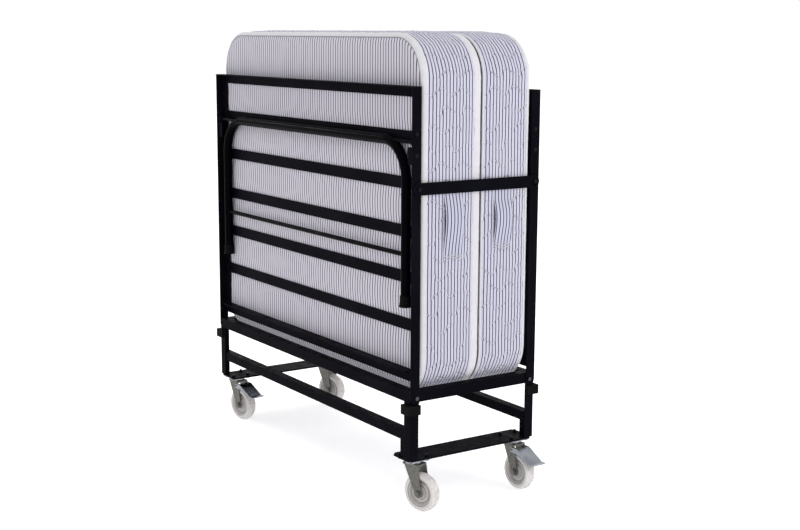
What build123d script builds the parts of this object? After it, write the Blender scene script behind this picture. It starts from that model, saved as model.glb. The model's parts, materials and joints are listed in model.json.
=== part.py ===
"""Rollaway bed, folded upright: wheeled angle-iron base, two hinged slatted
panels with folding U legs, two mattress halves and two restraint bars.

Frame: origin on the floor under the middle of the bed, X along the bed's width,
Y from the front panel to the rear panel, Z up. Millimetres.
"""
import math
import os

from build123d import *

os.makedirs("parts", exist_ok=True)

# ---- driving dimensions ------------------------------------------------------
FRAME_X = 1043.0
FRAME_Y = 390.0
ANGLE = 26.0
GAUGE = 3.0
PANEL_TOPS = {"front": 1061.0, "rear": 1047.0}
WHEEL_D = 100.0
CASTER_H = 134.0
PLATE_T = 5.0
PLATE_W = 80.0
RAIL_TOP = 315.0
LOWER_RAIL_Z = 185.0
LOWER_RAIL = 25.0
TUBE_WALL = 2.0
PIVOT_Z = 298.0
PIVOT_EDGE = 17.0
COLLAR_H = 24.0
COLLAR_PROUD = 10.0
SLAT_H = 30.0
SLAT_BOTTOMS = (923.0, 810.0, 691.0, 577.0, 459.0)
BOTTOM_RAIL_Z = 332.0
BOTTOM_RAIL_H = 32.0
LEG_TUBE_R = 12.5
LEG_HALF_SPAN = 480.0
LEG_AXIS_Z = 928.0
LEG_BEND_R = 95.0
LEG_FOOT_Z = 521.0
ROD_Z = 651.0
ROD_R = 6.0
BAR_Z = 816.0
BAR_H = 30.0
BAR_T = 4.0
MATTRESS_X = 1048.0
MATTRESS_Z0 = 281.0
MATTRESS_H = 906.0
MATTRESS_GAP = 3.0
SPLIT_Y = 12.0
CORNER_R = 108.0
HANDLE_LENS = {"front": 162.0, "rear": 124.0}
HANDLE_DROPS = (2.0, 24.0)
HANDLE_W = 56.0
HANDLE_BULGE = 24.0
HANDLE_T = 4.0

# ---- clearances and hardware -------------------------------------------------
RUN = 0.05
SLIDE_GAP = 0.5
SEAT_GAP = 1.0
PIVOT_R = 4.0
SMALL_R = 3.0
HEAD_R = 5.0
NUT_R = 5.5
HEAD_T = 4.0
SMALL_HEAD_R = 5.0
SMALL_HEAD_T = 3.0
FLAT_HEAD_T = 0.6

# ---- worked-out positions ----------------------------------------------------
POST_X = FRAME_X / 2
POST_Y = FRAME_Y / 2
PLATE_TOP = CASTER_H + PLATE_T
STILE_IN = POST_X + SLIDE_GAP
STILE_OUT = STILE_IN + GAUGE
PIVOT_Y = POST_Y - PIVOT_EDGE
PANEL_BACK = POST_Y - ANGLE
SLAT_BACK = PANEL_BACK - GAUGE
LEG_Y = POST_Y - LEG_TUBE_R - SLIDE_GAP
MATTRESS_Y = SLAT_BACK - 2 * SEAT_GAP
HANDLE_TOPS = {"front": BAR_Z - BAR_H / 2 - HANDLE_DROPS[0], "rear": BAR_Z - BAR_H / 2 - HANDLE_DROPS[1]}
HANDLE_Y = {"front": -73.0, "rear": 80.0}
BAR_IN = STILE_OUT + SEAT_GAP
BAR_OUT = BAR_IN + BAR_T
BAR_BOLT_Y = 178.0
STUD_Y = 178.0
BRACKET_BOLTS = (-32.0, 20.0)
CASTER_X = POST_X - PLATE_W / 2 + 5.0
CASTER_Y = POST_Y - 36.0
CASTER_PLATE = (64.0, 62.0)
CASTER_BOLTS = (47.0, 48.0)
HEADINGS = {"fr": 18.0, "fl": 10.0, "rr": 3.0, "rl": 16.0}
CORNERS = {"fr": (1, -1), "fl": (-1, -1), "rr": (1, 1), "rl": (-1, 1)}
SIDES = {"right": 1, "left": -1}
PANELS = {"front": -1, "rear": 1}


def save(piece, name):
    """Label one finished sub-part and write it under the same name."""
    piece.part.label = name
    export_step(piece.part, f"parts/{name}.step")


def block(x_range, y_range, z_range, mode=Mode.ADD):
    """Add (or cut) an upright block given by its three ranges."""
    mid_x = (x_range[0] + x_range[1]) / 2
    mid_y = (y_range[0] + y_range[1]) / 2
    with BuildSketch(Plane.XY.offset(min(z_range))) as outline:
        with Locations((mid_x, mid_y)):
            Rectangle(abs(x_range[1] - x_range[0]), abs(y_range[1] - y_range[0]))
    extrude(outline.sketch, amount=abs(z_range[1] - z_range[0]), mode=mode)


def along_x(x_range, centre, radius, mode=Mode.ADD, sides=0):
    """Add (or cut) a round or polygonal bar that runs along X at (y, z)."""
    with BuildSketch(Plane.YZ.offset(min(x_range))) as outline:
        with Locations(centre):
            if sides:
                RegularPolygon(radius, sides)
            else:
                Circle(radius)
    extrude(outline.sketch, amount=abs(x_range[1] - x_range[0]), mode=mode)


def upright(centre, radius, z_range, mode=Mode.ADD, sides=0):
    """Add (or cut) a round or polygonal bar that runs along Z at (x, y)."""
    with BuildSketch(Plane.XY.offset(min(z_range))) as outline:
        with Locations(centre):
            if sides:
                RegularPolygon(radius, sides)
            else:
                Circle(radius)
    extrude(outline.sketch, amount=abs(z_range[1] - z_range[0]), mode=mode)


# ---- base: posts, feet and collars -------------------------------------------
for corner, (sx, sy) in CORNERS.items():
    with BuildPart() as post:
        block((sx * (POST_X - ANGLE), sx * POST_X), (sy * (POST_Y - GAUGE), sy * POST_Y),
              (PLATE_TOP, RAIL_TOP - GAUGE))
        block((sx * (POST_X - GAUGE), sx * POST_X), (sy * (POST_Y - ANGLE), sy * POST_Y),
              (PLATE_TOP, RAIL_TOP - GAUGE))
        along_x((sx * (POST_X - GAUGE), sx * POST_X), (sy * PIVOT_Y, PIVOT_Z), PIVOT_R, Mode.SUBTRACT)
    save(post, f"post_{corner}")

foot_inner = POST_X - ANGLE - 20.0
with BuildPart() as post_feet:
    for sy in (-1, 1):
        block((foot_inner, POST_X - GAUGE), (sy * (POST_Y - 2 * GAUGE), sy * (POST_Y - GAUGE)),
              (PLATE_TOP, LOWER_RAIL_Z))
save(post_feet, "post_feet")

collar_top = PIVOT_Z - PIVOT_EDGE - 0.3
with BuildPart() as stop_collars:
    for sx, sy in CORNERS.values():
        outer_x = POST_X + COLLAR_PROUD
        outer_y = POST_Y + COLLAR_PROUD
        block((sx * (POST_X - ANGLE), sx * outer_x), (sy * (POST_Y - ANGLE), sy * outer_y),
              (collar_top - COLLAR_H, collar_top))
        block((sx * 0.5 * POST_X, sx * POST_X), (sy * 0.5 * POST_Y, sy * POST_Y),
              (collar_top - COLLAR_H, collar_top), Mode.SUBTRACT)
save(stop_collars, "stop_collars")

# ---- base: upper rail loop ---------------------------------------------------
for panel, sy in PANELS.items():
    with BuildPart() as upper_rail:
        block((-(POST_X - ANGLE), POST_X - ANGLE), (sy * (POST_Y - GAUGE), sy * POST_Y),
              (RAIL_TOP - ANGLE - 2.0, RAIL_TOP))
        block((-POST_X, POST_X), (sy * (POST_Y - ANGLE), sy * POST_Y), (RAIL_TOP - GAUGE, RAIL_TOP))
    save(upper_rail, f"upper_rail_{panel}")

for side, sx in SIDES.items():
    with BuildPart() as end_rail:
        span = POST_Y - ANGLE
        block((sx * (POST_X - GAUGE), sx * POST_X), (-span, span), (RAIL_TOP - ANGLE - 2.0, RAIL_TOP))
        block((sx * (POST_X - ANGLE), sx * POST_X), (-span, span), (RAIL_TOP - GAUGE, RAIL_TOP))
    save(end_rail, f"end_rail_{side}")

# ---- base: lower rails and end plates ----------------------------------------
for panel, sy in PANELS.items():
    with BuildPart() as lower_rail:
        with BuildSketch(Plane.YZ.offset(-(POST_X - GAUGE))):
            with Locations((sy * (POST_Y - GAUGE - LOWER_RAIL / 2), LOWER_RAIL_Z + LOWER_RAIL / 2)):
                Rectangle(LOWER_RAIL, LOWER_RAIL)
                Rectangle(LOWER_RAIL - 2 * TUBE_WALL, LOWER_RAIL - 2 * TUBE_WALL, mode=Mode.SUBTRACT)
        extrude(amount=2 * (POST_X - GAUGE))
    save(lower_rail, f"lower_rail_{panel}")

for side, sx in SIDES.items():
    with BuildPart() as end_plate:
        with BuildSketch(Plane.XY.offset(CASTER_H)) as outline:
            with Locations((sx * (POST_X - PLATE_W / 2), 0)):
                Rectangle(PLATE_W, FRAME_Y)
            chamfer(outline.vertices(), 9.0)
            with Locations((sx * CASTER_X, -CASTER_Y), (sx * CASTER_X, CASTER_Y)):
                with GridLocations(CASTER_BOLTS[0], CASTER_BOLTS[1], 2, 2):
                    Circle(SMALL_R, mode=Mode.SUBTRACT)
        extrude(amount=PLATE_T)
    save(end_plate, f"end_plate_{side}")

# ---- base: fasteners ---------------------------------------------------------
with BuildPart() as panel_pivot_bolts:
    for sx, sy in CORNERS.values():
        axis = (sy * PIVOT_Y, PIVOT_Z)
        along_x((sx * (POST_X - GAUGE - HEAD_T), sx * (POST_X - GAUGE)), axis, HEAD_R, sides=6)
        along_x((sx * (POST_X - GAUGE), sx * (STILE_OUT + 0.3)), axis, PIVOT_R)
        along_x((sx * (STILE_OUT + 0.3), sx * (STILE_OUT + HEAD_T)), axis, HEAD_R)
save(panel_pivot_bolts, "panel_pivot_bolts")

caster_plate_t = 3.0
with BuildPart() as caster_bolts:
    for sx, sy in CORNERS.values():
        for dx in (-0.5, 0.5):
            for dy in (-0.5, 0.5):
                spot = (sx * CASTER_X + dx * CASTER_BOLTS[0], sy * CASTER_Y + dy * CASTER_BOLTS[1])
                upright(spot, SMALL_R, (CASTER_H - caster_plate_t, PLATE_TOP + 6.0))
                upright(spot, SMALL_HEAD_R, (PLATE_TOP, PLATE_TOP + 3.5), sides=6)
                upright(spot, SMALL_HEAD_R, (CASTER_H - caster_plate_t - 2.5, CASTER_H - caster_plate_t))
save(caster_bolts, "caster_bolts")

# ---- casters -----------------------------------------------------------------
RACE_R = 22.0
RACE_BOTTOM = 122.0
CROWN_TOP = RACE_BOTTOM - 0.5
CROWN_T = 3.0
KINGPIN_R = 5.0
TRAIL = 28.0
AXLE_R = 4.0
WHEEL_R = WHEEL_D / 2
WHEEL_W = 30.0
FORK_IN = WHEEL_W / 2 + 1.5
FORK_T = 2.5
FORK_OUT = FORK_IN + FORK_T
BRAKED = ("fl", "rr")
PEDAL_PIN = (20.0, 108.0)
PIN_R = 2.5
EAR_T = 2.5
EAR_OUT = FORK_OUT + SLIDE_GAP + EAR_T

with BuildPart() as caster_tops:
    for sx, sy in CORNERS.values():
        with BuildSketch(Plane.XY.offset(CASTER_H - caster_plate_t)) as outline:
            with Locations((sx * CASTER_X, sy * CASTER_Y)):
                RectangleRounded(CASTER_PLATE[0], CASTER_PLATE[1], 6.0)
                with GridLocations(CASTER_BOLTS[0], CASTER_BOLTS[1], 2, 2):
                    Circle(SMALL_R, mode=Mode.SUBTRACT)
        extrude(outline.sketch, amount=caster_plate_t)
        centre = (sx * CASTER_X, sy * CASTER_Y)
        upright(centre, RACE_R, (RACE_BOTTOM, CASTER_H - caster_plate_t))
        upright(centre, KINGPIN_R, (RACE_BOTTOM - 11.0, RACE_BOTTOM))
        upright(centre, KINGPIN_R + 3.0, (RACE_BOTTOM - 12.0, CROWN_TOP - CROWN_T - 0.5), sides=6)
save(caster_tops, "caster_tops")

for corner, (sx, sy) in CORNERS.items():
    turn = math.radians(HEADINGS[corner])
    ahead = (math.cos(turn), math.sin(turn), 0)
    flat = Plane(origin=(sx * CASTER_X, sy * CASTER_Y, 0), x_dir=ahead, z_dir=(0, 0, 1))
    side_on = Plane(origin=(sx * CASTER_X, sy * CASTER_Y, 0), x_dir=ahead,
                    z_dir=(math.sin(turn), -math.cos(turn), 0))

    with BuildPart() as caster_fork:
        with BuildSketch(flat.offset(CROWN_TOP - CROWN_T)) as crown:
            with Locations((3.0, 0)):
                RectangleRounded(52.0, 2 * FORK_OUT, 6.0)
            Circle(KINGPIN_R + RUN, mode=Mode.SUBTRACT)
        extrude(crown.sketch, amount=CROWN_T)
        for offset in (-FORK_OUT, FORK_IN):
            with BuildSketch(side_on.offset(offset)) as cheek:
                with BuildLine():
                    Polyline((-16.0, CROWN_TOP - 1.0), (26.0, CROWN_TOP - 1.0),
                             (TRAIL + 11.0, WHEEL_R), (TRAIL - 11.0, WHEEL_R), close=True)
                make_face()
                with Locations((TRAIL, WHEEL_R)):
                    Circle(12.0)
                    Circle(AXLE_R, mode=Mode.SUBTRACT)
            extrude(cheek.sketch, amount=FORK_T)
        if corner in BRAKED:
            with BuildSketch(side_on.offset(-EAR_OUT - 1.5)) as pin:
                with Locations(PEDAL_PIN):
                    Circle(PIN_R)
            extrude(pin.sketch, amount=2 * EAR_OUT + 3.0)
    save(caster_fork, f"caster_fork_{corner}")

    with BuildPart() as caster_axle:
        with BuildSketch(side_on.offset(-FORK_OUT - 5.0)) as outline:
            with Locations((TRAIL, WHEEL_R)):
                Circle(AXLE_R)
        extrude(outline.sketch, amount=2 * FORK_OUT + 10.0)
        for offset in (-FORK_OUT - 4.5, FORK_OUT):
            with BuildSketch(side_on.offset(offset)) as nut:
                with Locations((TRAIL, WHEEL_R)):
                    RegularPolygon(7.5, 6)
            extrude(nut.sketch, amount=4.5)
    save(caster_axle, f"caster_axle_{corner}")

    hub = side_on.location.position + Vector(*ahead) * TRAIL + Vector(0, 0, WHEEL_R)
    across = Plane(origin=hub, x_dir=(0, 0, 1), z_dir=ahead)
    with BuildPart() as caster_wheel:
        with BuildSketch(across):
            with BuildLine():
                half = WHEEL_W / 2
                Polyline((AXLE_R + RUN, -half - 0.8), (13.0, -half - 0.8), (14.0, -9.0), (30.0, -7.0),
                         (33.0, -half + 2.0), (WHEEL_R - 7.0, -half))
                ThreePointArc((WHEEL_R - 7.0, -half), (WHEEL_R, 0), (WHEEL_R - 7.0, half))
                Polyline((WHEEL_R - 7.0, half), (33.0, half - 2.0), (30.0, 7.0), (14.0, 9.0),
                         (13.0, half + 0.8), (AXLE_R + RUN, half + 0.8), (AXLE_R + RUN, -half - 0.8))
            make_face()
        revolve(axis=Axis(hub, across.y_dir))
    save(caster_wheel, f"caster_wheel_{corner}")

    if corner in BRAKED:
        with BuildPart() as brake_pedal:
            for offset in (-EAR_OUT, EAR_OUT - EAR_T):
                with BuildSketch(side_on.offset(offset)) as ear:
                    with BuildLine():
                        Polyline((PEDAL_PIN[0] - 4.0, PEDAL_PIN[1] - 6.0), (PEDAL_PIN[0] - 4.0, 114.0),
                                 (40.0, 114.0), (90.0, 86.0), (84.0, 82.0), (52.0, 98.0), close=True)
                    make_face()
                    with Locations(PEDAL_PIN):
                        Circle(PIN_R + RUN, mode=Mode.SUBTRACT)
                extrude(ear.sketch, amount=EAR_T)
            with BuildSketch(side_on.offset(-EAR_OUT)) as tread:
                with BuildLine():
                    Polyline((40.0, 114.0), (90.0, 86.0), (104.0, 86.0), (104.0, 83.0), (89.0, 83.0),
                             (40.0, 110.5), close=True)
                make_face()
            extrude(tread.sketch, amount=2 * EAR_OUT)
        save(brake_pedal, f"brake_pedal_{corner}")

# ---- folding panels ----------------------------------------------------------
for panel, sy in PANELS.items():
    top = PANEL_TOPS[panel]
    for side, sx in SIDES.items():
        with BuildPart() as stile:
            block((sx * STILE_IN, sx * STILE_OUT), (sy * PANEL_BACK, sy * POST_Y),
                  (PIVOT_Z, top - GAUGE))
            along_x((sx * STILE_IN, sx * STILE_OUT), (sy * PIVOT_Y, PIVOT_Z), PIVOT_EDGE)
            block((sx * STILE_IN, sx * STILE_OUT), (sy * (PANEL_BACK - PIVOT_EDGE), sy * PANEL_BACK),
                  (PIVOT_Z - PIVOT_EDGE, PIVOT_Z + PIVOT_EDGE), Mode.SUBTRACT)
            block((sx * (STILE_OUT - ANGLE), sx * STILE_OUT), (sy * PANEL_BACK, sy * (PANEL_BACK + GAUGE)),
                  (BOTTOM_RAIL_Z, top - GAUGE))
            along_x((sx * STILE_IN, sx * STILE_OUT), (sy * PIVOT_Y, PIVOT_Z), PIVOT_R + RUN,
                    Mode.SUBTRACT)
            for dz in BRACKET_BOLTS:
                along_x((sx * STILE_IN, sx * STILE_OUT), (sy * LEG_Y, LEG_AXIS_Z + dz), SMALL_R,
                        Mode.SUBTRACT)
            if panel == "front":
                along_x((sx * STILE_IN, sx * STILE_OUT), (sy * BAR_BOLT_Y, BAR_Z), PIVOT_R,
                        Mode.SUBTRACT)
            else:
                along_x((sx * STILE_IN, sx * STILE_OUT), (sy * STUD_Y, BAR_Z), PIVOT_R,
                        Mode.SUBTRACT)
        save(stile, f"{panel}_stile_{side}")

    inner_x = STILE_OUT - ANGLE
    with BuildPart() as top_rail:
        block((-inner_x, inner_x), (sy * PANEL_BACK, sy * (PANEL_BACK + GAUGE)),
              (top - ANGLE, top))
        block((-STILE_OUT, STILE_OUT), (sy * PANEL_BACK, sy * POST_Y), (top - GAUGE, top))
    save(top_rail, f"{panel}_top_rail")

    with BuildPart() as slats:
        for low in SLAT_BOTTOMS:
            block((-(inner_x + 20.0), inner_x + 20.0), (sy * SLAT_BACK, sy * PANEL_BACK),
                  (low, low + SLAT_H))
    save(slats, f"{panel}_slats")

    with BuildPart() as bottom_rail:
        rail_top = BOTTOM_RAIL_Z + BOTTOM_RAIL_H
        block((-inner_x, inner_x), (sy * PANEL_BACK, sy * (PANEL_BACK + GAUGE)),
              (BOTTOM_RAIL_Z, rail_top))
        block((-inner_x, inner_x), (sy * PANEL_BACK, sy * POST_Y), (rail_top - GAUGE, rail_top))
    save(bottom_rail, f"{panel}_bottom_rail")

    bracket_t = 4.0
    boss_r = 9.0
    boss_in = STILE_IN - bracket_t - 8.0
    with BuildPart() as leg_brackets:
        for sx in SIDES.values():
            block((sx * (STILE_IN - bracket_t), sx * STILE_IN), (sy * (LEG_Y - 9.0), sy * (LEG_Y + 9.0)),
                  (LEG_AXIS_Z - 54.0, LEG_AXIS_Z + 32.0))
            block((sx * (STILE_IN - 22.0), sx * (STILE_IN - bracket_t)),
                  (sy * (LEG_Y + 9.0 - GAUGE), sy * (LEG_Y + 9.0)), (LEG_AXIS_Z - 54.0, LEG_AXIS_Z - 12.0))
            along_x((sx * boss_in, sx * (STILE_IN - bracket_t)), (sy * LEG_Y, LEG_AXIS_Z), boss_r)
            along_x((sx * boss_in, sx * STILE_IN), (sy * LEG_Y, LEG_AXIS_Z), 5.0 + RUN, Mode.SUBTRACT)
            for dz in BRACKET_BOLTS:
                along_x((sx * boss_in, sx * STILE_IN), (sy * LEG_Y, LEG_AXIS_Z + dz), SMALL_R,
                        Mode.SUBTRACT)
    save(leg_brackets, f"{panel}_leg_brackets")

    with BuildPart() as panel_bolts:
        for sx in SIDES.values():
            for dz in BRACKET_BOLTS:
                spot = (sy * LEG_Y, LEG_AXIS_Z + dz)
                along_x((sx * (STILE_IN - bracket_t), sx * STILE_OUT), spot, SMALL_R)
                along_x((sx * STILE_OUT, sx * (STILE_OUT + FLAT_HEAD_T)), spot, SMALL_HEAD_R)
                along_x((sx * (STILE_IN - bracket_t - SMALL_HEAD_T), sx * (STILE_IN - bracket_t)), spot,
                        SMALL_HEAD_R, sides=6)
    save(panel_bolts, f"{panel}_bracket_bolts")

    # U leg: crossbar, two bends and two straight legs in one tube
    with BuildPart() as leg_tube:
        bend_z = LEG_AXIS_Z - LEG_BEND_R
        bend_x = LEG_HALF_SPAN - LEG_BEND_R
        diagonal = LEG_BEND_R * math.sqrt(0.5)
        with BuildLine(Plane.XZ.offset(-sy * LEG_Y)) as path:
            Line((-LEG_HALF_SPAN, LEG_FOOT_Z + 4.0), (-LEG_HALF_SPAN, bend_z))
            ThreePointArc((-LEG_HALF_SPAN, bend_z), (-bend_x - diagonal, bend_z + diagonal),
                          (-bend_x, LEG_AXIS_Z))
            Line((-bend_x, LEG_AXIS_Z), (bend_x, LEG_AXIS_Z))
            ThreePointArc((bend_x, LEG_AXIS_Z), (bend_x + diagonal, bend_z + diagonal),
                          (LEG_HALF_SPAN, bend_z))
            Line((LEG_HALF_SPAN, bend_z), (LEG_HALF_SPAN, LEG_FOOT_Z + 4.0))
        with BuildSketch(Plane(origin=path.line @ 0, z_dir=path.line % 0)):
            Circle(LEG_TUBE_R)
        sweep(path=path.line)
        for sx in SIDES.values():
            along_x((sx * (bend_x + 20.0), sx * (STILE_IN - SEAT_GAP)), (sy * LEG_Y, LEG_AXIS_Z), 5.0)
            along_x((sx * (LEG_HALF_SPAN - LEG_TUBE_R - 4.0), sx * LEG_HALF_SPAN),
                    (sy * LEG_Y, BAR_Z - 18.0), SMALL_HEAD_R)
    save(leg_tube, f"{panel}_leg_tube")

    with BuildPart() as leg_rod:
        rod_end = LEG_HALF_SPAN - LEG_TUBE_R + 1.0
        along_x((-rod_end, rod_end), (sy * LEG_Y, ROD_Z), ROD_R)
        for sx in SIDES.values():
            upright((sx * LEG_HALF_SPAN, sy * LEG_Y), LEG_TUBE_R, (ROD_Z - 20.0, ROD_Z + 20.0),
                    Mode.SUBTRACT)
    save(leg_rod, f"{panel}_leg_rod")

    with BuildPart() as leg_feet:
        for sx in SIDES.values():
            with BuildSketch(Plane(origin=(sx * LEG_HALF_SPAN, sy * LEG_Y, LEG_FOOT_Z), x_dir=(1, 0, 0),
                                   z_dir=(0, -1, 0))) as profile:
                with BuildLine():
                    Polyline((0, 0), (16.0, 0), (16.0, 4.0), (14.5, 14.0), (14.5, 28.0),
                             (LEG_TUBE_R, 28.0), (LEG_TUBE_R, 4.0), (0, 4.0), (0, 0))
                make_face()
            revolve(profile.sketch, axis=Axis((sx * LEG_HALF_SPAN, sy * LEG_Y, 0), (0, 0, 1)))
    save(leg_feet, f"{panel}_leg_feet")

    # mattress half, scooped at its lower edge so that it clears the rail as it folds
    inner_y = SPLIT_Y + sy * MATTRESS_GAP / 2
    with BuildPart() as mattress:
        with BuildSketch(Plane.XZ.offset(-max(inner_y, sy * MATTRESS_Y))) as outline:
            with Locations((0, MATTRESS_Z0 + MATTRESS_H / 2)):
                RectangleRounded(MATTRESS_X, MATTRESS_H, CORNER_R)
        extrude(outline.sketch, amount=abs(sy * MATTRESS_Y - inner_y))
        along_x((-POST_X, POST_X), (sy * PIVOT_Y, PIVOT_Z), PIVOT_EDGE * math.sqrt(2) + SEAT_GAP,
                Mode.SUBTRACT)
    save(mattress, f"{panel}_mattress")

    face = MATTRESS_X / 2
    high = HANDLE_TOPS[panel]
    low = high - HANDLE_LENS[panel]
    mid = (high + low) / 2
    with BuildPart() as handle:
        with BuildSketch(Plane.XZ.offset(-HANDLE_Y[panel] - HANDLE_W / 2)) as strap:
            with BuildLine():
                ThreePointArc((face, low), (face + HANDLE_BULGE, mid), (face, high))
                Line((face, high), (face, high - 3 * HANDLE_T))
                ThreePointArc((face, high - 3 * HANDLE_T), (face + HANDLE_BULGE - HANDLE_T, mid),
                              (face, low + 3 * HANDLE_T))
                Line((face, low + 3 * HANDLE_T), (face, low))
            make_face()
        extrude(strap.sketch, amount=HANDLE_W)
    save(handle, f"{panel}_handle")

# ---- restraint bars ----------------------------------------------------------
for side, sx in SIDES.items():
    with BuildPart() as restraint_bar:
        x_low = min(sx * BAR_IN, sx * BAR_OUT)
        with BuildSketch(Plane.YZ.offset(x_low)) as outline:
            with Locations(((STUD_Y - BAR_BOLT_Y) / 2, BAR_Z)):
                SlotCenterToCenter(STUD_Y + BAR_BOLT_Y, BAR_H)
            with Locations((-BAR_BOLT_Y, BAR_Z)):
                Circle(PIVOT_R + RUN, mode=Mode.SUBTRACT)
            with Locations((STUD_Y, BAR_Z)):
                Circle(PIVOT_R + SLIDE_GAP, mode=Mode.SUBTRACT)
            with Locations((STUD_Y, BAR_Z - BAR_H / 2)):
                Rectangle(2 * (PIVOT_R + SLIDE_GAP), BAR_H, mode=Mode.SUBTRACT)
        extrude(outline.sketch, amount=BAR_T)
    save(restraint_bar, f"restraint_bar_{side}")

for name, spot_y, shoulder in (("bar_pivot_bolts", -BAR_BOLT_Y, SEAT_GAP), ("bar_studs", STUD_Y, 0.0)):
    with BuildPart() as bar_fixings:
        for sx in SIDES.values():
            spot = (spot_y, BAR_Z)
            along_x((sx * (STILE_IN - HEAD_T), sx * STILE_IN), spot, NUT_R, sides=6)
            along_x((sx * STILE_IN, sx * (BAR_OUT + 0.3)), spot, PIVOT_R)
            if shoulder:
                along_x((sx * STILE_OUT, sx * (STILE_OUT + shoulder)), spot, HEAD_R)
            along_x((sx * (BAR_OUT + 0.3), sx * (BAR_OUT + HEAD_T)), spot, HEAD_R)
    save(bar_fixings, name)
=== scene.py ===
"""Looks of the rollaway bed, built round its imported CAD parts.

Metres, in the frame of the parts: X along the bed's width, Y from the front panel
to the rear panel, Z up from the floor.
"""

import json
import math

import bpy
import numpy as np
from mathutils import Matrix, Vector


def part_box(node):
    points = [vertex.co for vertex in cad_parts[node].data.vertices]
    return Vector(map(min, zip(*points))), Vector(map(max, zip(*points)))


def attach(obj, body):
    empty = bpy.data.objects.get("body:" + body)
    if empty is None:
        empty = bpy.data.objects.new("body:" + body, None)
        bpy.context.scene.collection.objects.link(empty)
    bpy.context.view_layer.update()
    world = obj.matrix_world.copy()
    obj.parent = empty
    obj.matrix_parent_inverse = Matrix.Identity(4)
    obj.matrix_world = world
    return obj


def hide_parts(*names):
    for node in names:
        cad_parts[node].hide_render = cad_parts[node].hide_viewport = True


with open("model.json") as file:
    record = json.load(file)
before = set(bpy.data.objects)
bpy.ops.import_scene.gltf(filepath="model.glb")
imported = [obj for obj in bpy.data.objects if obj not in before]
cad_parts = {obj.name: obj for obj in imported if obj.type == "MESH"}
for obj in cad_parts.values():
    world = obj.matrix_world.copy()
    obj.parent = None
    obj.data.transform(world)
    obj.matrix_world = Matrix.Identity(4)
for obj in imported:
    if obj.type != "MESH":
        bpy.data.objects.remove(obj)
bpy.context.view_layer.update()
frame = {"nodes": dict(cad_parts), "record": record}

# ---- measures that the frame doesn't hold ------------------------------------
# a mattress half's cover, as it is laid out before it is filled
CORNER_R = 0.108  # corners of the face's outline
EDGE_R = 0.009  # edge between the outer face and the boxing
INNER_EDGE_R = 0.004  # the same edge where the two halves face each other
SEAM_IN = 0.003  # the seams lie this far inside the CAD half
SPLIT = 0.003  # the rear cover's inner face stands this far back from the CAD half's
CELL = 0.0108  # about the side of one quad

# filling it
CLOTH_STEPS = 20
PRESSURE = 4.0
GROWTH = 0.012  # how much larger the cloth is cut than the form, as a share
SWELL_CAP = 0.007  # the furthest that filling moves any point
SLAT_SAG = 0.0025  # how far the face may bulge out between two slats
SLAT_FADE = 0.035  # the distance from a slat at which that bulge is full
SLAT_ROOM = 0.0005  # gap to the slats
STRAP_ROOM = 0.0015  # gap to the restraint bars, with room in it for a handle
SCOOP_R = 0.0255  # room round the panels' pivots

# woven stripes, from one dark line to the next
FACE_PITCH = 0.0120
BOXING_PITCH = 0.0098

# quilting: waves sewn across the boxing
QUILT_STEP = 0.045  # from one wave to the next
QUILT_SWING = 0.009  # how far a wave swings to either side
QUILT_LENGTH = 0.062  # length of a wave
QUILT_DRIFT = 0.170  # how far along the cloth the waves take to shift and return
SEED = 11

# binding tapes: width of each half's outer and inner one on the boxing
TAPE_ON_BOXING = {"front": (0.007, 0.017), "rear": (0.003, 0.0005)}
NARROW_TAPE = 0.004  # up to this width a tape has no flat part on the boxing
OUTER_TAPE_ON_FACE, INNER_TAPE_ON_FACE = 0.002, 0.004
OUTER_HOLD, INNER_HOLD = 0.4 * CELL, 0.7 * CELL  # how far past a tape the boxing is still held
TAPE_TUCK = 0.0008  # how far a tape's two edges sink into the cover

# carry handles
SEWN_END = 0.006  # length of a handle's stitched-down end, each side of the CAD handle's foot
STRAP_INSET = 0.0004  # how far inside the cover's furthest swelling a handle's ends are sewn
STRAP_RISE = 0.34  # how far a handle stands off, as a share of the CAD handle's
STRAP_CURL = 0.0022  # how much further its middle stands off than its edges
STRAP_WAIST = 0.0020  # how far each edge is drawn in
STRAP_ROWS, STRAP_COLUMNS = 72, 14
CLOTH_THICK = 0.0012

# the camera, with its angles in degrees and its lens in millimetres
CAMERA_PLACE = (3.163, -1.992, 1.186)
CAMERA_AZIMUTH, CAMERA_PITCH, CAMERA_ROLL = 56.242, 9.821, 0.292
CAMERA_LENS, CAMERA_SENSOR = 60.37, 36.0

PANELS = {"front": -1, "rear": 1}
BOLT_HEAD_R = 0.005
BAR_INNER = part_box("restraint_bar_right")[0].x
PIVOT_Z = sum(corner.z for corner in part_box("panel_pivot_bolts")) / 2
PIVOT_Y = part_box("panel_pivot_bolts")[1].y - BOLT_HEAD_R

SEWING_THREAD = (0.80, 0.80, 0.86, 1.0)


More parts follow.
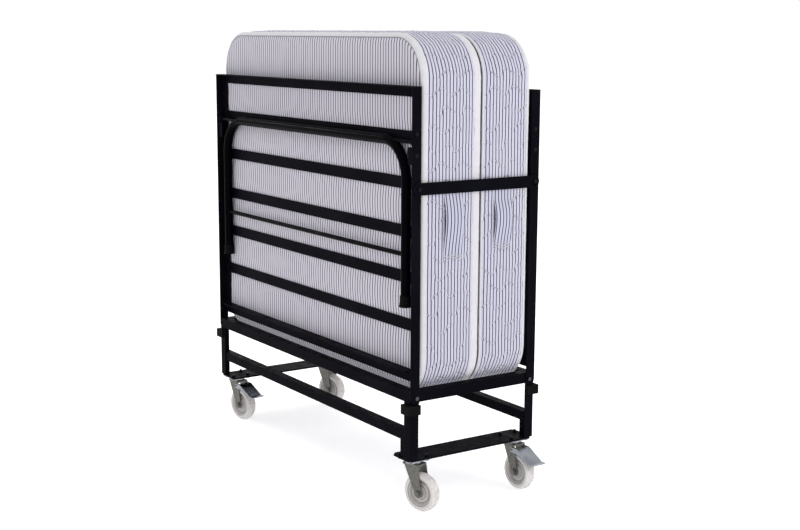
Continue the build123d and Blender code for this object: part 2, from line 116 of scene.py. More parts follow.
# ---- materials ---------------------------------------------------------------
class Paint:
    """One material: its node tree, with a short call for each kind of node used here."""

    def __init__(self, name, surface):
        self.material = bpy.data.materials.new(name)
        self.material.use_nodes = True
        self.tree = self.material.node_tree
        self.surface = self.tree.nodes["Principled BSDF"]
        self.wear(surface)

    def wear(self, surface):
        """Set or link the shader's own sockets."""
        for socket, value in surface.items():
            self.feed(self.surface.inputs[socket], value)

    def feed(self, socket, value):
        if isinstance(value, bpy.types.NodeSocket):
            self.tree.links.new(value, socket)
        else:
            socket.default_value = value

    def node(self, kind, inputs, **settings):
        node = self.tree.nodes.new("ShaderNode" + kind)
        for key, value in settings.items():
            setattr(node, key, value)
        for key, value in inputs.items():
            self.feed(node.inputs[key], value)
        return node

    def calc(self, operation, *values):
        node = self.node("Math", {}, operation=operation)
        for socket, value in zip(node.inputs, values):
            self.feed(socket, value)
        return node.outputs[0]

    def place(self):
        return self.node("TexCoord", {}).outputs["Object"]

    def cloth_place(self):
        """Across the stripes and along them, in metres, as the cloth was cut."""
        cut = self.node("UVMap", {}, uv_map="cut").outputs["UV"]
        split = self.node("SeparateXYZ", {"Vector": cut})
        return split.outputs["X"], split.outputs["Y"]

    def noise(self, place, scale, detail=3.0):
        return self.node("TexNoise", {"Vector": place, "Scale": scale, "Detail": detail}).outputs["Fac"]

    def fade(self, value, low, high, start=0.0, end=1.0):
        sockets = {"Value": value, "From Min": low, "From Max": high, "To Min": start, "To Max": end}
        return self.node("MapRange", sockets, interpolation_type="SMOOTHSTEP").outputs["Result"]

    def mix(self, share, first, second):
        node = self.node("Mix", {}, data_type="RGBA")
        self.feed(node.inputs[0], share)
        self.feed(node.inputs[6], first)
        self.feed(node.inputs[7], second)
        return node.outputs[2]

    def bump(self, height, depth, under=None):
        sockets = {"Height": height, "Distance": depth, "Strength": 1.0}
        if under is not None:
            sockets["Normal"] = under
        return self.node("Bump", sockets).outputs["Normal"]

    def rounded(self, radius):
        """The surface normal with its sharp edges rounded off, and how near an edge it is."""
        soft = self.node("Bevel", {"Radius": radius}, samples=4).outputs["Normal"]
        flat = self.node("NewGeometry", {}).outputs["Normal"]
        facing = self.node("VectorMath", {0: soft, 1: flat}, operation="DOT_PRODUCT").outputs["Value"]
        return soft, self.fade(facing, 0.995, 0.90)


def grey(level):
    return (level, level, level, 1.0)


def tinted(colour, tint):
    return tuple(min(1.0, c * t) for c, t in zip(colour, tint)) + (1.0,)


def painted(name, colour, rough, shine, edge_r):
    """Sprayed paint on steel: fine orange peel, cloudy gloss and edges rubbed thin."""
    paint = Paint(name, {"Specular IOR Level": shine})
    place = paint.place()
    soft, edge = paint.rounded(edge_r)
    patches = paint.noise(place, 14.0, 5.0)
    rubbed = paint.calc("MULTIPLY", edge, paint.fade(patches, 0.45, 0.62, 0.15, 1.0))
    bare = tuple(min(1.0, c * 4 + 0.003) for c in colour[:3]) + (1.0,)
    clouds = paint.fade(paint.noise(place, 5.0), 0.35, 0.75)
    dusty = paint.mix(clouds, colour, tinted(colour, (1.7, 1.7, 1.7)))
    peel = paint.calc("ADD", paint.noise(place, 420.0), paint.calc("MULTIPLY", patches, 1.5))
    paint.wear({
        "Base Color": paint.mix(rubbed, dusty, bare),
        "Roughness": paint.fade(paint.noise(place, 35.0, 6.0), 0.3, 0.7, rough - 0.06, rough + 0.10),
        "Normal": paint.bump(peel, 0.00025, soft),
    })
    return paint.material


def plated(name, colour, rough, edge_r, metallic=1.0, grain=160.0):
    """Zinc-plated pressed steel: faint draw lines, spangle and brighter edges; at a coarse grain the
    spangle's dull patches grow wide and are a painted reflection.
    """
    paint = Paint(name, {"Metallic": metallic})
    place = paint.place()
    soft, edge = paint.rounded(edge_r)
    spangle = paint.noise(place, grain, 6.0)
    stretched = paint.node("Mapping", {"Vector": place, "Scale": (60.0, 60.0, 900.0)}).outputs["Vector"]
    drawn = paint.noise(stretched, 1.0, 2.0)
    # the spangle's darker tone; at a coarse grain these patches are a painted reflection of dark
    # surroundings
    dull = tuple(c * 0.72 for c in colour[:3]) + (1.0,)
    bright = tuple(min(1.0, c * 1.25) for c in colour[:3]) + (1.0,)
    body = paint.mix(paint.fade(spangle, 0.3, 0.7), dull, colour)
    paint.wear({
        "Base Color": paint.mix(edge, body, bright),
        "Roughness": paint.fade(spangle, 0.25, 0.75, rough + 0.10, rough - 0.05),
        "Normal": paint.bump(paint.calc("ADD", spangle, drawn), 0.0002, soft),
    })
    return paint.material


def moulded(name, colour, centre):
    """Injection-moulded nylon: a darker web, turned rings about the axle with painted shade in dark rings at
    their grooves, scuffs on the tread.
    """
    paint = Paint(name, {"Subsurface Weight": 0.10, "Subsurface Scale": 0.004, "Specular IOR Level": 0.4})
    place = paint.place()
    soft = paint.rounded(0.0012)[0]
    reach = paint.node("VectorMath", {0: place, 1: centre}, operation="DISTANCE").outputs["Value"]
    rings = paint.calc("SINE", paint.calc("MULTIPLY", reach, 2 * math.pi / 0.0045))
    scuffs = paint.noise(place, 90.0, 8.0)

    # a dark ring where a groove lies in shade: painted shade
    def ring(radius, width):
        off = paint.calc("ABSOLUTE", paint.calc("SUBTRACT", reach, radius))
        return paint.fade(off, width * 0.4, width, 0.75, 0.0)

    clouds = paint.fade(paint.noise(place, 18.0), 0.3, 0.7)
    warm = paint.mix(clouds, colour, tinted(colour, (0.93, 0.91, 0.90)))
    web = paint.mix(paint.fade(reach, 0.031, 0.037, 1.0, 0.0), warm, tinted(colour, (0.72, 0.71, 0.70)))
    # painted shade in the grooves at the tread's inner edge and round the hub
    inner = paint.calc("MAXIMUM", ring(0.028, 0.0016), ring(0.020, 0.0016))
    groove_shade = paint.calc("MAXIMUM", ring(0.0375, 0.0022), inner)
    turned = paint.mix(groove_shade, web, tinted(colour, (0.25, 0.25, 0.24)))
    grime = paint.calc("MULTIPLY", paint.fade(reach, 0.044, 0.050), paint.fade(scuffs, 0.42, 0.65, 0.0, 0.6))
    paint.wear({
        "Base Color": paint.mix(grime, turned, tinted(colour, (0.62, 0.59, 0.56))),
        "Roughness": paint.fade(scuffs, 0.3, 0.7, 0.32, 0.50),
        "Normal": paint.bump(paint.calc("ADD", rings, scuffs), 0.00022, soft),
    })
    return paint.material


def rubbered(name):
    """Black rubber, dull, with a bloom."""
    paint = Paint(name, {"Specular IOR Level": 0.04})
    place = paint.place()
    soft = paint.rounded(0.0015)[0]
    bloom = paint.noise(place, 60.0, 8.0)
    paint.wear({
        "Base Color": paint.mix(paint.fade(bloom, 0.4, 0.8), grey(0.0022), grey(0.0060)),
        "Roughness": paint.fade(bloom, 0.3, 0.7, 0.55, 0.75),
        "Normal": paint.bump(bloom, 0.0002, soft),
    })
    return paint.material


def near_line(paint, value, step, shift=0.0):
    """Signed distance, in metres, to the nearest of the lines a step apart."""
    turns = paint.calc("DIVIDE", paint.calc("ADD", value, shift), step)
    return paint.calc("MULTIPLY", paint.calc("SUBTRACT", paint.calc("FRACT", turns), 0.5), step)


def quilt_waves(paint, across, along):
    """Distance, in metres, from the nearest sewn wave across the cloth, and the wave's phase."""
    drift = paint.calc("SINE", paint.calc("MULTIPLY", along, 2 * math.pi / QUILT_DRIFT))
    turns = paint.calc("MULTIPLY", across, 2 * math.pi / QUILT_LENGTH)
    phase = paint.calc("MULTIPLY_ADD", drift, 2.0, turns)
    swing = paint.calc("MULTIPLY", paint.calc("SINE", phase), QUILT_SWING)
    return near_line(paint, paint.calc("SUBTRACT", along, swing), QUILT_STEP), phase


def ticking(name, pitch, quilting, tint, sway=1.0, stitched_ends=()):
    """Woven ticking: a blue-grey line and a pale lilac band on white in each pitch.

    quilting scales the sewn waves, where the stripes jog and the cloth puckers, and sway
    how far the stripes wander; stitched_ends gives where along the cloth a zigzag seam is.
    """
    paint = Paint(name, {"Sheen Weight": 0.25, "Sheen Roughness": 0.45, "Specular IOR Level": 0.2})
    across, along = paint.cloth_place()
    place = paint.place()
    patchy = paint.fade(paint.noise(place, 30.0, 2.0), 0.36, 0.56)

    def dip(distance, width):
        square = paint.calc("MULTIPLY", distance, distance)
        return paint.calc("EXPONENT", paint.calc("DIVIDE", square, -width * width))

    off, phase = quilt_waves(paint, across, along)
    sewn = paint.calc("MULTIPLY", patchy, quilting)
    tucks = paint.calc("MULTIPLY", dip(off, 0.0030), sewn)
    jog = paint.calc("MULTIPLY", paint.calc("COSINE", phase), paint.calc("MULTIPLY", dip(off, 0.0045), sewn))
    wander = paint.calc("MULTIPLY", paint.calc("SUBTRACT", paint.noise(place, 6.0, 1.0), 0.5), 0.003 * sway)
    shifted = paint.calc("ADD", paint.calc("MULTIPLY_ADD", jog, 0.0021, across), wander)

    line = near_line(paint, shifted, pitch)
    band = near_line(paint, shifted, pitch, pitch / 2)
    dark = paint.fade(paint.calc("ABSOLUTE", line), pitch * 0.14, pitch * 0.24, 1.0, 0.0)
    pale = paint.fade(paint.calc("ABSOLUTE", band), pitch * 0.10, pitch * 0.22, 0.75, 0.0)

    threads = paint.noise(place, 1400.0, 2.0)
    white = paint.mix(threads, tinted((0.58, 0.58, 0.66), tint), tinted((0.70, 0.69, 0.77), tint))
    lilac = paint.mix(threads, tinted((0.36, 0.36, 0.47), tint), tinted((0.44, 0.43, 0.55), tint))
    blue = paint.mix(threads, tinted((0.060, 0.060, 0.100), tint), tinted((0.10, 0.10, 0.155), tint))
    cloth = paint.mix(dark, paint.mix(pale, white, lilac), blue)
    soil = paint.fade(paint.noise(place, 3.0, 4.0), 0.4, 0.8, 0.0, 0.10)
    cloth = paint.mix(soil, cloth, (0.50, 0.48, 0.48, 1.0))
    thread = paint.calc("MULTIPLY", dip(off, 0.0009), paint.calc("MULTIPLY", sewn, 0.3))
    cloth = paint.mix(thread, cloth, SEWING_THREAD)

    slope = paint.calc("ADD", across, along)
    twill = paint.calc("SINE", paint.calc("MULTIPLY", slope, 2 * math.pi / 0.0016))
    weave = paint.calc("ADD", paint.calc("MULTIPLY", twill, 0.5), threads)
    height = paint.calc("SUBTRACT", paint.calc("MULTIPLY", weave, 0.045), tucks)
    for end in stitched_ends:
        slant = paint.calc("PINGPONG", across, 0.007)
        seam = dip(paint.calc("SUBTRACT", paint.calc("SUBTRACT", along, end), slant), 0.0013)
        height = paint.calc("SUBTRACT", height, seam)
        cloth = paint.mix(paint.calc("MULTIPLY", seam, 0.8), cloth, SEWING_THREAD)
    paint.wear({
        "Base Color": cloth,
        "Roughness": paint.fade(threads, 0.3, 0.7, 0.72, 0.92),
        "Normal": paint.bump(height, 0.0030),
    })
    return paint.material


def binding(name):
    """Off-white twill tape: ribs across it, a lockstitch near its edge on the face, soft puckers."""
    paint = Paint(name, {"Sheen Weight": 0.3, "Sheen Roughness": 0.5, "Specular IOR Level": 0.2})
    across, along = paint.cloth_place()
    place = paint.place()
    ribs = paint.calc("SINE", paint.calc("MULTIPLY", along, 2 * math.pi / 0.0022))
    threads = paint.noise(place, 1200.0, 2.0)
    dash = paint.fade(paint.calc("ABSOLUTE", near_line(paint, along, 0.0042)), 0.0010, 0.0014, 1.0, 0.0)
    row = paint.fade(paint.calc("ABSOLUTE", near_line(paint, across, 1.0, 0.496)), 0.0003, 0.0006, 1.0, 0.0)
    stitch = paint.calc("MULTIPLY", dash, row)
    puckers = paint.noise(place, 55.0, 3.0)
    cream = paint.mix(puckers, (0.48, 0.475, 0.50, 1.0), (0.60, 0.59, 0.615, 1.0))
    cream = paint.mix(paint.fade(threads, 0.4, 0.7, 0.0, 0.25), cream, (0.42, 0.415, 0.44, 1.0))
    # painted shadow: the tape darkens along its edge sewn to the face, where the seam lies in shade
    seam_shadow = paint.fade(across, 0.0036, 0.0060, 0.85, 0.0)
    cream = paint.mix(seam_shadow, cream, (0.12, 0.12, 0.14, 1.0))
    height = paint.calc("ADD", paint.calc("MULTIPLY", ribs, 0.05), paint.calc("MULTIPLY", puckers, 1.2))
    height = paint.calc("SUBTRACT", height, paint.calc("MULTIPLY", stitch, 0.5))
    paint.wear({
        "Base Color": cream,
        "Roughness": paint.fade(puckers, 0.3, 0.7, 0.66, 0.85),
        "Normal": paint.bump(height, 0.0012),
    })
    return paint.material


def dress_parts():
    """Give each CAD part the material that its slot in the record names."""
    shared = {
        "black_paint": painted("black_paint", (0.0028, 0.0028, 0.0046, 1.0), 0.34, 0.006, 0.0012),
        "gloss_black_tube": painted("gloss_black_tube", (0.0008, 0.0008, 0.0016, 1.0), 0.14, 0.012, 0.0003),
        "zinc_steel": plated("zinc_steel", (0.15, 0.147, 0.132, 1.0), 0.42, 0.0010, 0.8),
        # its coarse grain spreads the dull patches wide: a painted reflection of dark surroundings on the
        # polished pedals
        "bright_zinc": plated("bright_zinc", (0.30, 0.32, 0.35, 1.0), 0.20, 0.0010, grain=30.0),
        "bright_bolts": plated("bright_bolts", (0.07, 0.07, 0.075, 1.0), 0.22, 0.0006),
        "black_bolts": painted("black_bolts", (0.0015, 0.0015, 0.0025, 1.0), 0.25, 0.10, 0.0006),
        "rubber": rubbered("rubber"),
    }
    for part in frame["record"]["subparts"]:
        node = frame["nodes"][part["node"]]
        name = part["material_slot"]
        if name == "nylon":
            low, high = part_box(part["node"])
            material = moulded(f"nylon_{part['node']}", (0.58, 0.562, 0.556, 1.0), (low + high) / 2)
        elif name in shared:
            material = shared[name]
        else:
            continue
        node.data.materials.clear()
        node.data.materials.append(material)


# ---- meshes and objects ------------------------------------------------------
def added(name, data):
    """A new object in the scene."""
    piece = bpy.data.objects.new(name, data)
    bpy.context.scene.collection.objects.link(piece)
    return piece


def positions(mesh):
    flat = np.empty(len(mesh.vertices) * 3)
    mesh.vertices.foreach_get("co", flat)
    return flat.reshape(-1, 3)


def set_positions(mesh, points):
    mesh.vertices.foreach_set("co", points.astype(np.float32).ravel())
    mesh.update()


def normals(mesh):
    flat = np.empty(len(mesh.vertices) * 3, np.float32)
    mesh.vertex_normals.foreach_get("vector", flat)
    return flat.reshape(-1, 3).astype(float)


def path_lengths(path):
    """How far along a path each of its points is."""
    return np.concatenate([[0.0], np.cumsum([math.dist(a, b) for a, b in zip(path, path[1:])])])


def bands(rings, width, along):
    """Quads from each ring of points to the next, with their corners' places on the cut cloth."""
    start, end = along[:-1], along[1:]
    quads, cut = [], []
    for k, (near, far) in enumerate(zip(rings, rings[1:])):
        quads.append(np.stack([near, np.roll(near, -1), np.roll(far, -1), far], -1))
        a, b = np.full(len(near), width[k]), np.full(len(near), width[k + 1])
        cut.append(np.stack([np.stack([a, start], -1), np.stack([a, end], -1),
                             np.stack([b, end], -1), np.stack([b, start], -1)], 1))
    return np.concatenate(quads), np.concatenate(cut)


def lay_cut(mesh, cut):
    """Keep the place of every face's corners on the cloth as it was cut, in metres."""
    layer = mesh.uv_layers.new(name="cut")
    layer.data.foreach_set("uv", cut.astype(np.float32).ravel())


# ---- mattress halves ---------------------------------------------------------
def face_grid(half_x, half_z, radius):
    """A grid over a rounded rectangle; its corner squares are bent into quarter discs."""
    count_x = 2 * round(half_x / CELL)
    count_z = 2 * round(half_z / CELL)
    x, z = np.meshgrid(np.linspace(-half_x, half_x, count_x + 1),
                       np.linspace(-half_z, half_z, count_z + 1), indexing="ij")
    u = np.clip((np.abs(x) - (half_x - radius)) / radius, 0, 1)
    v = np.clip((np.abs(z) - (half_z - radius)) / radius, 0, 1)
    corner = (u > 0) & (v > 0)
    bent_x = half_x - radius + radius * u * np.sqrt(1 - v * v / 2)
    bent_z = half_z - radius + radius * v * np.sqrt(1 - u * u / 2)
    x = np.where(corner, np.sign(x) * bent_x, x)
    z = np.where(corner, np.sign(z) * bent_z, z)
    return x, z


def grid_rim(shape):
    """The grid's outer points in order, from the middle of the bottom edge round to it again."""
    last_x, last_z = shape[0] - 1, shape[1] - 1
    rim = [(i, 0) for i in range(last_x)]
    rim += [(last_x, j) for j in range(last_z)]
    rim += [(i, last_z) for i in range(last_x, 0, -1)]
    rim += [(0, j) for j in range(last_z, 0, -1)]
    start = last_x // 2
    rim = rim[start:] + rim[:start]
    return np.array([i * shape[1] + j for i, j in rim])


class Cover:
    """The measures of one mattress half's cover, before it is filled."""

    def __init__(self, panel):
        self.panel = panel
        low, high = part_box(f"{panel}_mattress")
        self.side = PANELS[panel]
        self.centre_z = (low.z + high.z) / 2
        self.half_x = high.x - SEAM_IN
        self.half_z = (high.z - low.z) / 2 - SEAM_IN
        self.outer_y = low.y if self.side < 0 else high.y
        self.inner_y = high.y if self.side < 0 else low.y + SPLIT
        self.thick = abs(self.outer_y - self.inner_y)
        # the boxing is held under the wider tapes and a little past them
        outer_tape, inner_tape = TAPE_ON_BOXING[panel]
        self.sewn_out = EDGE_R + (outer_tape + OUTER_HOLD if outer_tape > NARROW_TAPE else 0.0)
        self.sewn_in = INNER_EDGE_R + (inner_tape + INNER_HOLD if inner_tape > NARROW_TAPE else 0.0)
        inset_x, inset_z = self.half_x - EDGE_R, self.half_z - EDGE_R
        self.grid_x, self.grid_z = face_grid(inset_x, inset_z, CORNER_R - EDGE_R)
        self.rim = grid_rim(self.grid_x.shape)
        self.rim_points = np.stack([self.grid_x.ravel()[self.rim], self.grid_z.ravel()[self.rim]], 1)
        arc_centres = np.clip(self.rim_points, (CORNER_R - self.half_x, CORNER_R - self.half_z),
                              (self.half_x - CORNER_R, self.half_z - CORNER_R))
        outward = self.rim_points - arc_centres
        self.outward = outward / np.linalg.norm(outward, axis=1)[:, None]
        edge = self.rim_points + EDGE_R * self.outward
        steps = np.linalg.norm(np.roll(edge, -1, axis=0) - edge, axis=1)
        self.along = np.concatenate([[0.0], np.cumsum(steps)])

    def depth_y(self, depth):
        """The y of a point that far in from the outer face."""
        return self.outer_y - self.side * depth

    def ring(self, outset, depth):
        """One ring of points round the cover, outset from the face's rim, at a depth."""
        flat = self.rim_points + outset * self.outward
        return np.stack([flat[:, 0], np.full(len(flat), self.depth_y(depth)), flat[:, 1] + self.centre_z], 1)


def edge_rings(radius):
    """(outset, depth) over one rounded edge, from the face to the boxing."""
    turns = np.radians([0.0, 30.0, 60.0, 90.0] if radius < EDGE_R else [30.0, 60.0, 90.0])
    return [(EDGE_R - radius + radius * math.sin(a), radius * (1 - math.cos(a))) for a in turns]


def edge_profile(thick):
    """(outset, depth) of each ring: over the outer edge, across the boxing, over the inner edge."""
    rows = round((thick - EDGE_R - INNER_EDGE_R) / CELL)
    across = [(EDGE_R, EDGE_R + (thick - EDGE_R - INNER_EDGE_R) * k / rows) for k in range(1, rows)]
    back = [(outset, thick - depth) for outset, depth in reversed(edge_rings(INNER_EDGE_R))]
    return edge_rings(EDGE_R) + across + back


def cover_mesh(cover):
    """The closed cover, all in quads: two faces, two rounded edges and the boxing between.

    Also says of each point whether it is sewn down and so can't move.
    """
    shape = cover.grid_x.shape
    faces_xz = np.stack([cover.grid_x.ravel(), cover.grid_z.ravel() + cover.centre_z], 1)
    count = len(faces_xz)
    outer = np.insert(faces_xz, 1, cover.outer_y, axis=1)
    inner = np.insert(faces_xz, 1, cover.inner_y, axis=1)
    profile = edge_profile(cover.thick)
    rings = [cover.ring(outset, depth) for outset, depth in profile]
    points = np.concatenate([outer, inner] + rings)

    index = np.arange(count).reshape(shape)
    quads = np.stack([index[:-1, :-1], index[1:, :-1], index[1:, 1:], index[:-1, 1:]], -1).reshape(-1, 4)
    flip = quads[:, ::-1]
    loops = [cover.rim] + [2 * count + k * len(cover.rim) + np.arange(len(cover.rim))
                           for k in range(len(rings))] + [cover.rim + count]
    path = [(0.0, 0.0)] + profile + [(0.0, cover.thick)]
    strips, cut = bands(loops, path_lengths(path), cover.along)
    if cover.side < 0:
        faces = np.concatenate([quads, flip + count, strips[:, ::-1]])
    else:
        faces = np.concatenate([flip, quads + count, strips])
    mesh = bpy.data.meshes.new(f"mattress_{cover.panel}")
    mesh.from_pydata(points.tolist(), [], faces.tolist())
    if cover.side < 0:
        cut = cut[:, ::-1]
    face_cut = points[faces[: 2 * len(quads)]][:, :, (0, 2)]
    lay_cut(mesh, np.concatenate([face_cut.ravel(), cut.ravel()]))
    on_boxing = np.zeros(len(faces), np.int32)
    on_boxing[2 * len(quads):] = 1
    mesh.polygons.foreach_set("material_index", on_boxing)
    held = np.zeros(len(points), bool)
    for k, (outset, depth) in enumerate(profile):
        if depth <= cover.sewn_out + 1e-6 or cover.thick - depth <= cover.sewn_in + 1e-6:
            held[loops[k + 1]] = True
    held[cover.rim] = True
    held[cover.rim + count] = True
    return mesh, held


def ripple(points, length, seed):
    """Smooth seeded waves of about that length, from -1 to 1."""
    chance = np.random.default_rng(seed)
    total = np.zeros(len(points))
    for _ in range(5):
        direction = chance.normal(size=3)
        direction *= chance.uniform(0.7, 1.4) / np.linalg.norm(direction)
        total += np.sin(points @ direction * 2 * math.pi / length + chance.uniform(0, 2 * math.pi))
    return total / 5


def inflated(piece, held):
    """Where a short cloth simulation under pressure puts the cover, its seams held."""
    seams = piece.vertex_groups.new(name="seams")
    seams.add(np.flatnonzero(held).tolist(), 1.0, "REPLACE")
    cloth = piece.modifiers.new("filling", "CLOTH")
    settings = cloth.settings
    settings.quality = 4
    settings.use_pressure = True
    settings.uniform_pressure_force = PRESSURE
    settings.shrink_min = -GROWTH
    settings.vertex_group_mass = seams.name
    settings.effector_weights.gravity = 0.0
    cloth.point_cache.frame_start = 1
    cloth.point_cache.frame_end = CLOTH_STEPS
    scene = bpy.context.scene
    for step in range(1, CLOTH_STEPS + 1):
        scene.frame_set(step)
    filled = piece.evaluated_get(bpy.context.evaluated_depsgraph_get())
    found = positions(filled.data)
    piece.modifiers.remove(cloth)
    piece.vertex_groups.remove(seams)
    scene.frame_set(1)
    return found


def between_slats(panel, z):
    """How clear each height is of the nearest slat: 0 on a slat, 1 from SLAT_FADE off it."""
    slats = positions(frame["nodes"][f"{panel}_slats"].data)[:, 2]
    levels = np.unique(np.round(slats, 3))
    low, high = levels[::2], levels[1::2]
    edges = np.sort(np.concatenate([low, high]))
    gap = np.min(np.abs(z[:, None] - edges[None]), axis=1)
    inside = np.any((z[:, None] >= low[None]) & (z[:, None] <= high[None]), axis=1)
    return np.where(inside, 0.0, np.clip(gap / SLAT_FADE, 0, 1))


def kept_clear(points, cover):
    """Hold the cover off the slats, the bars, the other half and the hinge line."""
    out = points.copy()
    limit_x = BAR_INNER - STRAP_ROOM
    out[:, 0] = np.clip(out[:, 0], -limit_x, limit_x)
    bay = between_slats(cover.panel, out[:, 2])
    slat_low, slat_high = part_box(f"{cover.panel}_slats")
    back = (slat_high.y if cover.side < 0 else slat_low.y) - cover.side * SLAT_ROOM
    reach = back + cover.side * SLAT_SAG * bay * bay * (3 - 2 * bay)
    if cover.side < 0:
        out[:, 1] = np.clip(out[:, 1], reach, cover.inner_y)
    else:
        out[:, 1] = np.clip(out[:, 1], cover.inner_y, reach)
    pivot = np.array([cover.side * PIVOT_Y, PIVOT_Z])
    away = out[:, 1:] - pivot
    distance = np.linalg.norm(away, axis=1)
    scale = np.where(distance < SCOOP_R, SCOOP_R / np.maximum(distance, 1e-6), 1.0)
    out[:, 1:] = pivot + away * scale[:, None]
    return out


def subdivided(piece):
    """Apply one subdivision, after any modifier that is already there, and shade it smooth."""
    smooth = piece.modifiers.new("smooth", "SUBSURF")
    smooth.levels = 1
    smooth.render_levels = 1
    done = bpy.data.meshes.new_from_object(piece.evaluated_get(bpy.context.evaluated_depsgraph_get()))
    piece.modifiers.clear()
    piece.data = done
    for polygon in done.polygons:
        polygon.use_smooth = True


def cut_places(mesh):
    """Each point's place on the cloth as it was cut: across the stripes and along them."""
    flat = np.empty(len(mesh.loops) * 2, np.float32)
    mesh.uv_layers["cut"].data.foreach_get("uv", flat)
    owner = np.empty(len(mesh.loops), np.int32)
    mesh.loops.foreach_get("vertex_index", owner)
    places = np.zeros((len(mesh.vertices), 2))
    places[owner] = flat.reshape(-1, 2)
    return places[:, 0], places[:, 1]


def quilted(points, mesh, cover):
    """Sew the waves into the boxing and let the cloth ripple between them."""
    facing = normals(mesh)
    on_side = 1 - np.clip(np.abs(facing[:, 1]) * 1.6, 0, 1)
    on_face = np.clip(np.abs(facing[:, 1]) * 4 - 3, 0, 1)
    depth = np.abs(points[:, 1] - cover.outer_y)
    middle = np.clip(np.minimum(depth - cover.sewn_out, cover.thick - depth - cover.sewn_in) / 0.02, 0, 1)
    across, along = cut_places(mesh)
    phase = 2 * math.pi * across / QUILT_LENGTH + 2 * np.sin(2 * math.pi * along / QUILT_DRIFT)
    turns = (along - QUILT_SWING * np.sin(phase)) / QUILT_STEP
    off = (turns - np.floor(turns) - 0.5) * QUILT_STEP
    sewn = np.exp(-(off / 0.005) ** 2) * (0.6 + 0.4 * ripple(points, 0.11, SEED))
    sink = on_side * middle * (0.0016 * sewn - 0.0008 * ripple(points, 0.06, SEED + 1))
    sink -= on_face * 0.0004 * ripple(points, 0.14, SEED + 2)
    return points - facing * sink[:, None]


def make_mattress(panel, materials):
    """One mattress half: sewn cover, filled under pressure, then quilted."""
    cover = Cover(panel)
    mesh, held = cover_mesh(cover)
    piece = added(f"mattress_{panel}", mesh)
    for material in materials:
        mesh.materials.append(material)
    rest = positions(mesh)
    found = inflated(piece, held)
    move = found - rest
    length = np.linalg.norm(move, axis=1)
    move *= np.minimum(1.0, SWELL_CAP / np.maximum(length, 1e-9))[:, None]
    set_positions(mesh, kept_clear(rest + move, cover))
    subdivided(piece)
    set_positions(piece.data, kept_clear(quilted(positions(piece.data), piece.data, cover), cover))
    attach(piece, f"{panel}_panel")
    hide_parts(f"{panel}_mattress")
    return cover, piece


# ---- binding tapes -----------------------------------------------------------
def make_tape(cover, name, inner, on_face, on_boxing, material):
    """A tape folded over one edge of a half and sewn down on both sides.

    on_face and on_boxing are its widths past the rounded edge, and proud is how far it
    stands off the cover.
    """
    proud = 0.0005 if inner else 0.0012
    radius = INNER_EDGE_R if inner else EDGE_R
    face_rim = EDGE_R - radius
    bend = [k * math.pi / 12 for k in range(7)]
    profile = [(face_rim - on_face, TAPE_TUCK), (face_rim - on_face + 0.001, -proud)]
    reach = radius + proud
    profile += [(face_rim + reach * math.sin(a), radius - reach * math.cos(a)) for a in bend]
    if on_boxing > NARROW_TAPE:
        profile += [(EDGE_R + proud * 2, radius + on_boxing * 0.35),
                    (EDGE_R + proud * 2, radius + on_boxing * 0.7),
                    (EDGE_R + proud * 0.8, radius + on_boxing - 0.001)]
    profile += [(EDGE_R - TAPE_TUCK, radius + on_boxing)]
    rings = [cover.ring(outset, cover.thick - depth if inner else depth) for outset, depth in profile]
    count = len(cover.rim)
    loops = [np.arange(count) + k * count for k in range(len(profile))]
    quads, cut = bands(loops, path_lengths(profile), cover.along)
    if (cover.side < 0) != inner:
        quads, cut = quads[:, ::-1], cut[:, ::-1]
    mesh = bpy.data.meshes.new(name)
    mesh.from_pydata(np.concatenate(rings).tolist(), [], quads.tolist())
    lay_cut(mesh, cut)
    mesh.materials.append(material)
    piece = added(name, mesh)
    subdivided(piece)
    fine = positions(piece.data)
    puckers = 0.00035 * ripple(fine, 0.022, SEED + 3) + 0.0005 * ripple(fine, 0.09, SEED + 4)
    fine = fine + normals(piece.data) * puckers[:, None]
    set_positions(piece.data, kept_clear(fine, cover))
    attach(piece, f"{cover.panel}_panel")
    return piece


# ---- carry handles -----------------------------------------------------------
def make_handle(cover, material):
    """A strap of ticking sewn down at both ends and standing off between them."""
    panel = cover.panel
    low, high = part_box(f"{panel}_handle")
    top = sum(corner.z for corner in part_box("restraint_bar_right")) / 2
    bottom = low.z - SEWN_END
    flat_x = BAR_INNER - STRAP_ROOM - STRAP_INSET
    bulge = (high.x - low.x) * STRAP_RISE
    width = high.y - low.y
    points, cut = [], []
    travelled = 0.0
    before = None
    for i in range(STRAP_ROWS + 1):
        z = bottom + (top - bottom) * i / STRAP_ROWS
        share = min(1.0, max(0.0, (z - low.z - SEWN_END) / (high.z - low.z - SEWN_END)))
        # the arch is fullest a little above its middle
        lift = math.sin(math.pi * share ** 1.3) ** 1.1 if share < 1 else 0.0
        x = flat_x + bulge * lift
        if before:
            travelled += math.dist(before, (x, z))
        before = (x, z)
        for j in range(STRAP_COLUMNS + 1):
            s = j / STRAP_COLUMNS
            curl = STRAP_CURL * lift * (1 - (2 * s - 1) ** 4)
            waist = STRAP_WAIST * lift * (2 * s - 1)
            y = low.y + width * s - waist
            points.append((x + curl, y, z))
            cut.append((abs(y - cover.outer_y) + EDGE_R * (math.pi / 2 - 1), travelled))
    faces = []
    for i in range(STRAP_ROWS):
        for j in range(STRAP_COLUMNS):
            a = i * (STRAP_COLUMNS + 1) + j
            faces.append((a, a + 1, a + STRAP_COLUMNS + 2, a + STRAP_COLUMNS + 1))
    mesh = bpy.data.meshes.new(f"handle_{panel}")
    mesh.from_pydata(points, [], faces)
    lay_cut(mesh, np.array(cut)[np.array(faces).ravel()])
    mesh.materials.append(material)
    piece = added(f"handle_{panel}", mesh)
    body = piece.modifiers.new("cloth_thickness", "SOLIDIFY")
    body.thickness = CLOTH_THICK
    body.offset = 1.0
    subdivided(piece)
    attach(piece, f"{panel}_panel")
    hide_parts(f"{panel}_handle")
    return piece


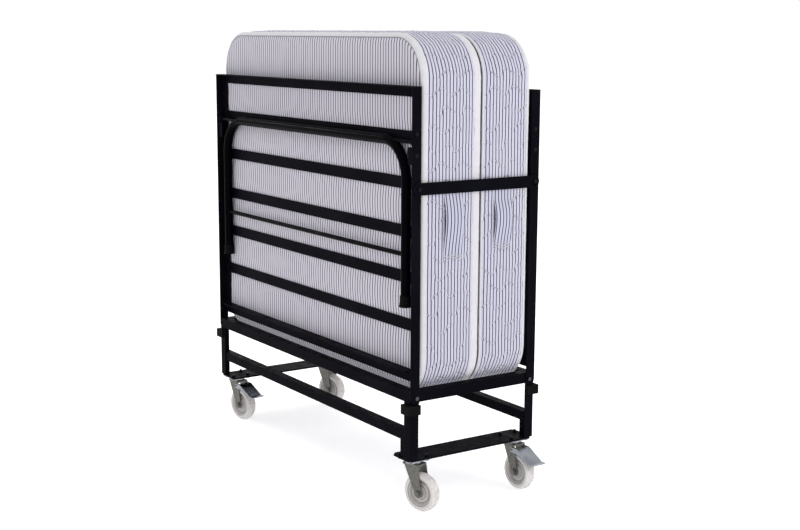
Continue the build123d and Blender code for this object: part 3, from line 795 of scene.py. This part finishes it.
# ---- studio ------------------------------------------------------------------
def make_floor():
    surface = {"Specular IOR Level": 0.1, "Emission Color": grey(1.0), "Emission Strength": 0.42}
    paint = Paint("floor", surface)
    place = paint.place()
    paint.wear({
        "Base Color": paint.mix(paint.noise(place, 2.0), grey(0.92), grey(0.95)),
        "Roughness": paint.fade(paint.noise(place, 30.0), 0.3, 0.7, 0.8, 0.9),
    })
    mesh = bpy.data.meshes.new("floor")
    reach = 30.0
    mesh.from_pydata([(-reach, -reach, 0), (reach, -reach, 0), (reach, reach, 0), (-reach, reach, 0)], [],
                     [(0, 1, 2, 3)])
    mesh.materials.append(paint.material)
    added("floor", mesh)


def make_light(name, place, target, size, power, colour):
    data = bpy.data.lights.new(name, "AREA")
    data.shape = "RECTANGLE"
    data.size, data.size_y = size
    data.energy = power
    data.color = colour
    light = added(name, data)
    light.location = place
    light.rotation_euler = (Vector(target) - Vector(place)).to_track_quat("-Z", "Y").to_euler()


def make_studio():
    make_floor()
    middle = (0.0, 0.0, 0.6)
    make_light("key", (4.0, 1.2, 2.6), middle, (2.2, 2.2), 60.0, (1.0, 0.99, 0.98))
    make_light("overhead", (-0.4, -0.8, 4.2), middle, (3.0, 3.0), 12.0, (0.97, 0.98, 1.0))
    make_light("spark", (-4.0, -1.6, 2.6), middle, (0.16, 0.16), 10.0, (1.0, 1.0, 1.0))
    world = bpy.data.worlds.new("studio")
    world.use_nodes = True
    world.node_tree.nodes["Background"].inputs["Color"].default_value = (1.0, 1.0, 1.0, 1.0)
    world.node_tree.nodes["Background"].inputs["Strength"].default_value = 1.0
    bpy.context.scene.world = world
    bpy.context.scene.view_settings.view_transform = "Standard"


def make_camera():
    data = bpy.data.cameras.new("camera")
    data.sensor_width = CAMERA_SENSOR
    data.lens = CAMERA_LENS
    camera = added("camera", data)
    turn = Matrix.Rotation(math.radians(CAMERA_AZIMUTH), 3, "Z")
    turn = turn @ Matrix.Rotation(math.radians(90 - CAMERA_PITCH), 3, "X")
    camera.location = CAMERA_PLACE
    camera.rotation_euler = (turn @ Matrix.Rotation(math.radians(CAMERA_ROLL), 3, "Z")).to_euler()
    bpy.context.scene.camera = camera


# ---- assembly ----------------------------------------------------------------
dress_parts()
face_ticking = ticking("ticking_face", FACE_PITCH, 0.06, (1.04, 1.0, 0.955), sway=0.3)
boxing_ticking = ticking("ticking_boxing", BOXING_PITCH, 1.0, (0.92, 0.92, 0.94))
# the strap is cut from the boxing's ticking; its darker, bluer tint is painted shade, as the handle stands
# in shade
strap_ticking_shaded = ticking("ticking_strap_shaded", BOXING_PITCH, 0.0, (0.84, 0.85, 0.90), stitched_ends=(0.004, 0.011))
tape_cloth = binding("binding_tape")
for panel in PANELS:
    cover, mattress = make_mattress(panel, (face_ticking, boxing_ticking))
    outer_width, inner_width = TAPE_ON_BOXING[panel]
    make_tape(cover, f"tape_{panel}_outer", False, OUTER_TAPE_ON_FACE, outer_width, tape_cloth)
    make_tape(cover, f"tape_{panel}_inner", True, INNER_TAPE_ON_FACE, inner_width, tape_cloth)
    make_handle(cover, strap_ticking_shaded)
make_studio()
make_camera()
